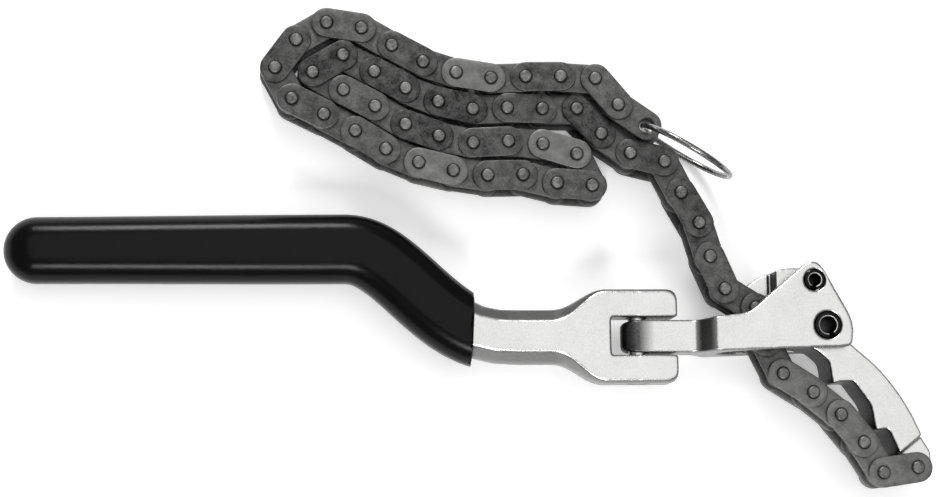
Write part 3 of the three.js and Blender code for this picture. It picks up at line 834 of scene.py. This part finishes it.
def grip_side(x):
    """How far the handle's middle line lies to the side at x."""
    past = x - BEND[0]
    share = min(max(past / (BEND[1] - BEND[0]), 0), 1) ** BEND_SKEW
    fall = share**3 * (share * (share * 6 - 15) + 10)  # a soft step from 0 to 1
    return CRANK * (1 - fall) + NOSE_DIP * min(0, past) / (BEND[0] - NOSE)


def grip_heading(x):
    """Which way the middle line points at x."""
    slope = (grip_side(x + PROBE) - grip_side(x - PROBE)) / (2 * PROBE)
    return math.atan(slope)


print("grip heading at mid bend:", round(math.degrees(grip_heading(sum(BEND) / 2)), 1), "degrees")

# %% [markdown]
# ## A section of the grip
# Cut across, the grip is a rectangle with very round corners, so four quarter circles make it,
# and the lines between them are its flats. It gets a little narrower towards the nose.

# %% Section of the grip
GRIP_HALF_WIDTHS = (9.25 * MM, 8.75 * MM)
GRIP_HALF_THICKNESS = 7.4 * MM
GRIP_CORNER = 6.6 * MM
CORNER_STEPS = 10


def grip_section(x):
    """Points of a rectangle with very round corners, clockwise, from its lower right corner."""
    share = min(max((BEND[0] - x) / (BEND[0] - NOSE), 0), 1)
    ease = share * share * (3 - 2 * share)  # a quicker soft step
    half_width = GRIP_HALF_WIDTHS[0] + (GRIP_HALF_WIDTHS[1] - GRIP_HALF_WIDTHS[0]) * ease
    wide, high = half_width - GRIP_CORNER, GRIP_HALF_THICKNESS - GRIP_CORNER
    corners = ((wide, -high, 360), (-wide, -high, 270), (-wide, high, 180), (wide, high, 90))
    points = []
    for side, up, start in corners:
        points += arc((side, up), GRIP_CORNER, start, start - 90, CORNER_STEPS)
    return points


print("points in a section:", len(grip_section(NOSE)))

# %% [markdown]
# ## Rows along the grip
# The sections stand in rows from the nose to the cut end, each square to the line of the handle.
# The nose is round, so the first ones shrink along a quarter circle. Where the line bends, the
# rows stand closer together, so that the bend stays smooth.

# %% Rows of the grip
NOSE_LENGTH = 8.7 * MM
NOSE_TIP_TURN = 0.12
NOSE_ROWS, STRAIGHT_ROWS, BEND_ROWS = 10, 12, 60


def grip_row(x, size):
    """The section at x, shrunk to a size and stood square to the middle line."""
    middle, heading = grip_side(x), grip_heading(x)
    along, across = -math.sin(heading), math.cos(heading)
    section = [(side * size, up * size) for side, up in grip_section(x)]
    return [(x + side * along, middle + side * across, up) for side, up in section]


def grip_rows():
    """All the sections from the nose to past the grip's end."""
    turns = np.linspace(NOSE_TIP_TURN, math.pi / 2, NOSE_ROWS)
    rows = [grip_row(NOSE + NOSE_LENGTH * (1 - math.cos(t)), math.sin(t)) for t in turns]
    straight = np.linspace(NOSE + NOSE_LENGTH, BEND[0], STRAIGHT_ROWS)[1:]
    bend = np.linspace(BEND[0], BEND[1], BEND_ROWS)[1:]
    return rows + [grip_row(x, 1.0) for x in (*straight, *bend)]


rows = grip_rows()
print("grip rows:", len(rows), "points in each:", len(rows[0]))

# %% [markdown]
# ## The skin of the grip
# The skin starts as one row of corners round the nose. Its edges are extruded, the new corners
# move to their places in the next row, and so on to the end. The bridge tool could join rows that
# are all there, but it has to guess which corners belong together. The dip ends in a clean cut
# across the handle, a few degrees off square, so a plane cuts the skin there, the hole is filled,
# and the new edge gets the soft lip of a dip that ran a little before it set. The handle lies
# tilted, nose down on the bench, and so the finished grip is turned about the clevis pin.

# %% Grip
GRIP_END = -44.6 * MM
GRIP_END_ANGLE = math.radians(3)
LIP = 0.7 * MM
LIP_SEGMENTS = 3
TOUCHING = 0.001 * MM


def grip_mesh():
    """The skin of the grip, measured from the clevis pin and not yet tilted."""
    work = bmesh.new()
    nose = loop = closed_loop(work, rows[0])
    for row in rows[1:]:
        made = bmesh.ops.extrude_edge_only(work, edges=loop)
        loop = of_kind(bmesh.types.BMEdge, made["geom"])
        for corner, place in zip(of_kind(bmesh.types.BMVert, made["geom"]), row):
            corner.co = place
    bmesh.ops.contextual_create(work, geom=nose)
    cut = bmesh.ops.bisect_plane(
        work,
        geom=[*work.verts, *work.edges, *work.faces],
        dist=TOUCHING,
        plane_co=(GRIP_END, 0, 0),
        plane_no=(math.cos(GRIP_END_ANGLE), -math.sin(GRIP_END_ANGLE), 0),
        clear_outer=True,
    )
    rim = of_kind(bmesh.types.BMEdge, cut["geom_cut"])
    bmesh.ops.contextual_create(work, geom=rim)
    soften(work, rim, LIP, LIP_SEGMENTS)
    return mesh_from(work, "grip")


low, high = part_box("clevis_pin")
clevis = (low + high) / 2
droop = math.asin((clevis.z - GRIP_HALF_THICKNESS) / (-NOSE - NOSE_LENGTH))
grip = grip_mesh()
grip.transform(Matrix.Translation(clevis) @ Matrix.Rotation(-droop, 4, "Y"))
piece("vinyl_grip", grip, [VINYL], ["dipped_grip"])
print("grip faces:", len(grip.polygons), "droop:", round(math.degrees(droop), 2), "degrees")

# %% [markdown]
# ## Spring pins
# A spring pin is a strip of spring steel rolled to a C, and its slot lets it squeeze into a hole
# that's a little too small. A tube with a cut would need a boolean. It's simpler to draw the C
# and pull it up. The chamfer inside the bore is painted bright, a painted highlight, so the
# faces that slant there take the second finish.

# %% Spring pins
CHAMFER = 0.22 * MM
CHAMFER_FACING = (0.2, 0.98)
SPRING_STEPS = 40
# Each has its name, its node, the strip's thickness, and the slot's width and heading.
SPRING_PINS = (
    ("rolled_pivot_pin", "pivot_spring_pin", 1.1 * MM, 1.6 * MM, -70),
    ("rolled_stop_pin", "stop_spring_pin", 1.0 * MM, 1.4 * MM, -100),
)


def spring_pin_mesh(node, wall, gap, heading):
    """A C as wide and as tall as its CAD node, with a painted highlight on the chamfer inside."""
    low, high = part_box(node)
    centre = (low + high) / 2
    radius = (high.x - low.x) / 2
    half = math.degrees(gap / 2 / radius)
    start, end = heading + half, heading + 360 - half
    outside = arc(centre.xy, radius, start, end, SPRING_STEPS)
    inside = arc(centre.xy, radius - wall, end, start, SPRING_STEPS)
    work = bmesh.new()
    add_slab(work, outside + inside, [], low.z, high.z, CHAMFER)
    for face in work.faces:
        reach = (face.calc_center_median().xy - centre.xy).length
        slanted = CHAMFER_FACING[0] < abs(face.normal.z) < CHAMFER_FACING[1]
        # The slanted faces inside the bore take the painted highlight.
        if slanted and reach < radius - wall + CHAMFER:
            face.material_index = 1
    return mesh_from(work, node)


for name, node, wall, gap, heading in SPRING_PINS:
    pin = spring_pin_mesh(node, wall, gap, heading)
    # The second finish is the painted highlight on the chamfer.
    piece(name, pin, [SPRING_STEEL, CHAMFER_HIGHLIGHT], [node])
    print(name, "faces:", len(pin.polygons))

# %% [markdown]
# ## The clevis pin
# The yoke hangs in the handle's fork on a plain round pin, which is seen only in the gaps beside
# the yoke's eye. It's a slab like the chain's pins, pulled up along Z and then laid down along Y.

# %% Clevis pin
CLEVIS_RIM = 0.4 * MM
CLEVIS_SIDES = 36


def clevis_pin_mesh():
    """A round pin along Y, as wide and as long as its CAD node."""
    low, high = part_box("clevis_pin")
    work = bmesh.new()
    reach = (high.y - low.y) / 2
    outline = circle((0, 0), (high.x - low.x) / 2, CLEVIS_SIDES)
    add_slab(work, outline, [], -reach, reach, CLEVIS_RIM, segments=3)
    mesh = mesh_from(work, "clevis")
    mesh.transform(Matrix.Translation((low + high) / 2) @ Matrix.Rotation(math.pi / 2, 4, "X"))
    return mesh


clevis_pin = clevis_pin_mesh()
piece("round_clevis_pin", clevis_pin, [CHROME], ["clevis_pin"])
print("clevis pin faces:", len(clevis_pin.polygons))

# %% [markdown]
# ## The pull ring
# The ring is a round of wire through the last link, and it leans as it lies on the chain. A torus
# would do, but a full spin of the wire's section shows how a torus comes about. The CAD ring says
# how big and how thick it is and how it leans: its axis is the direction in which it's thinnest.

# %% Pull ring
WIRE_SIDES = 16
RING_STEPS = 96


def ring_mesh():
    """A ring of round wire, as big as its CAD node and lying as it does."""
    places = node_corners("pull_ring")
    middle = (places.min(axis=0) + places.max(axis=0)) / 2
    axis = main_axes(places)[-1]
    spread = (places - middle) @ axis
    wire = float(spread.max() - spread.min()) / 2
    outer = float(np.linalg.norm(places - middle, axis=1).max())
    work = bmesh.new()
    made = bmesh.ops.create_circle(work, segments=WIRE_SIDES, radius=wire, cap_ends=False)
    stand = Matrix.Translation((outer - wire, 0, 0)) @ Matrix.Rotation(math.pi / 2, 4, "X")
    bmesh.ops.transform(work, matrix=stand, verts=made["verts"])
    bmesh.ops.spin(
        work,
        geom=[*work.verts, *work.edges],
        cent=(0, 0, 0),
        axis=(0, 0, 1),
        angle=math.tau,
        steps=RING_STEPS,
        use_merge=True,
    )
    bmesh.ops.remove_doubles(work, verts=work.verts, dist=TOUCHING)
    mesh = mesh_from(work, "ring", smooth_below=60)
    lean = Vector(axis).to_track_quat("Z", "Y").to_matrix().to_4x4()
    mesh.transform(Matrix.Translation(Vector(middle)) @ lean)
    return mesh


ring = ring_mesh()
piece("wire_ring", ring, [WIRE], ["pull_ring"])
print("ring faces:", len(ring.polygons))

# %% [markdown]
# ## The floor
# The ground is plain white paper, with the wrench's soft shadow on it. More power in the lamps
# would make it white, but would bleach the wrench too. So the paper itself glows a little, and
# only for rays from the camera or by way of a mirror. Light on the wrench and its shadow stay
# true.

# %% Floor
FLOOR_HALF = 1.5
FLOOR_LIFT = 0.3
PAPER_CLOUD = 0.4
PAPER_WHITE = (grey(0.93), grey(0.95))


def pale_floor():
    """A white floor that keeps a soft shadow, and that the camera and bright metal see whiter."""
    finish = Finish("pale_floor", Roughness=0.9, Emission_Strength=1.0)
    paths = ("Is Camera Ray", "Is Glossy Ray", "Is Transmission Ray")
    camera, glossy, through = (finish.node("ShaderNodeLightPath", output=path) for path in paths)
    finish.set("Emission Color", FLOOR_LIFT * (camera + glossy + through).between(0, 1))
    finish.set("Base Color", finish.colour(finish.noise(PAPER_CLOUD), *PAPER_WHITE))
    return finish.material


work = bmesh.new()
bmesh.ops.create_grid(work, x_segments=1, y_segments=1, size=FLOOR_HALF)
floor = in_scene("floor", mesh_from(work, "floor"))
floor.data.materials.append(pale_floor())
print("floor:", 2 * FLOOR_HALF, "m wide")

# %% [markdown]
# ## Lamps
# The photograph has soft light from above. A wide panel overhead lights the flats evenly. Alone,
# it would leave the round edges of the grip black, so a small panel on each side draws a streak
# along them. Each aims at the middle of the wrench, and they're weak enough that a colour shows
# about as it's written.

# %% Lamps
# Each has its place and its width and height in metres, and its power in watts.
AREA_LIGHTS = (
    ("overhead", (0.15, 0.12, 1.2), (1.5, 1.3), 6.4),
    ("back_strip", (-0.15, 1.0, 0.63), (0.36, 0.34), 8.5),
    ("front_strip", (-0.15, -0.8, 0.81), (0.42, 0.26), 5.4),
)
for name, place, (width, height), power in AREA_LIGHTS:
    light = bpy.data.lights.new(name, "AREA")
    light.shape = "RECTANGLE"
    light.size, light.size_y, light.energy = width, height, power
    lamp = in_scene(name, light)
    lamp.location = place
    lamp.rotation_euler = (-Vector(place)).to_track_quat("-Z", "Y").to_euler()
    print("lamp:", name, power, "W")

# %% [markdown]
# ## The room
# Chrome shows what is round it, and in an empty world it turns black. So the world is a room of
# dim white light, the same from all sides, and slightly brighter near the horizon, more in front
# than behind. That faint band draws the light lines along the rounded edges of the chrome.

# %% Room
ROOM_GLOW = 0.25
FRONT_GLOW = 0.06
BACK_GLOW = 0.02
HORIZON_BAND = (0.1, 0.5)

world = bpy.data.worlds.new("studio")
room = Graph(world)
heading = room.node("ShaderNodeTexCoord", output="Generated")
across, height = (
    room.node("ShaderNodeSeparateXYZ", output=axis, inputs={"Vector": heading}) for axis in "YZ"
)
front, back = (-across).between(0, 1), across.between(0, 1)
near_horizon = 1 - abs(height).between(*HORIZON_BAND)
glow = ROOM_GLOW + near_horizon * (FRONT_GLOW * front + BACK_GLOW * back)
plain_white = world.node_tree.nodes["Background"]
room.feed(plain_white.inputs["Color"], (1, 1, 1, 1))
room.feed(plain_white.inputs["Strength"], glow)
bpy.context.scene.world = world
print("room:", world.name, "nodes:", len(world.node_tree.nodes))

# %% [markdown]
# ## Camera
# The photograph was taken from almost straight above, a little from the left and below. Its
# camera was worked out from the pins of the chain, which are a known pitch apart. A Track To
# constraint would aim it, but can't roll it, so its three axes are built from the aim and an
# upward direction.

# %% Camera
CAMERA_PLACE = Vector((-55.91, -77.04, 534.4)) * MM
CAMERA_TARGET = Vector((-0.2, -0.71, 13)) * MM
CAMERA_UP = Vector((0.0113, 0.9999, 0))
CAMERA_ANGLE = 26.65

camera = bpy.data.cameras.new("camera")
camera.sensor_fit = "HORIZONTAL"
camera.angle = math.radians(CAMERA_ANGLE)
toward = (CAMERA_TARGET - CAMERA_PLACE).normalized()
right = toward.cross(CAMERA_UP).normalized()
turn = Matrix((right, right.cross(toward), -toward)).transposed().to_4x4()
view = in_scene("camera", camera)
view.matrix_world = Matrix.Translation(CAMERA_PLACE) @ turn
bpy.context.scene.camera = view
bpy.context.scene.view_settings.view_transform = "Standard"
print("camera:", CAMERA_ANGLE, "degrees wide, from", CAMERA_PLACE)
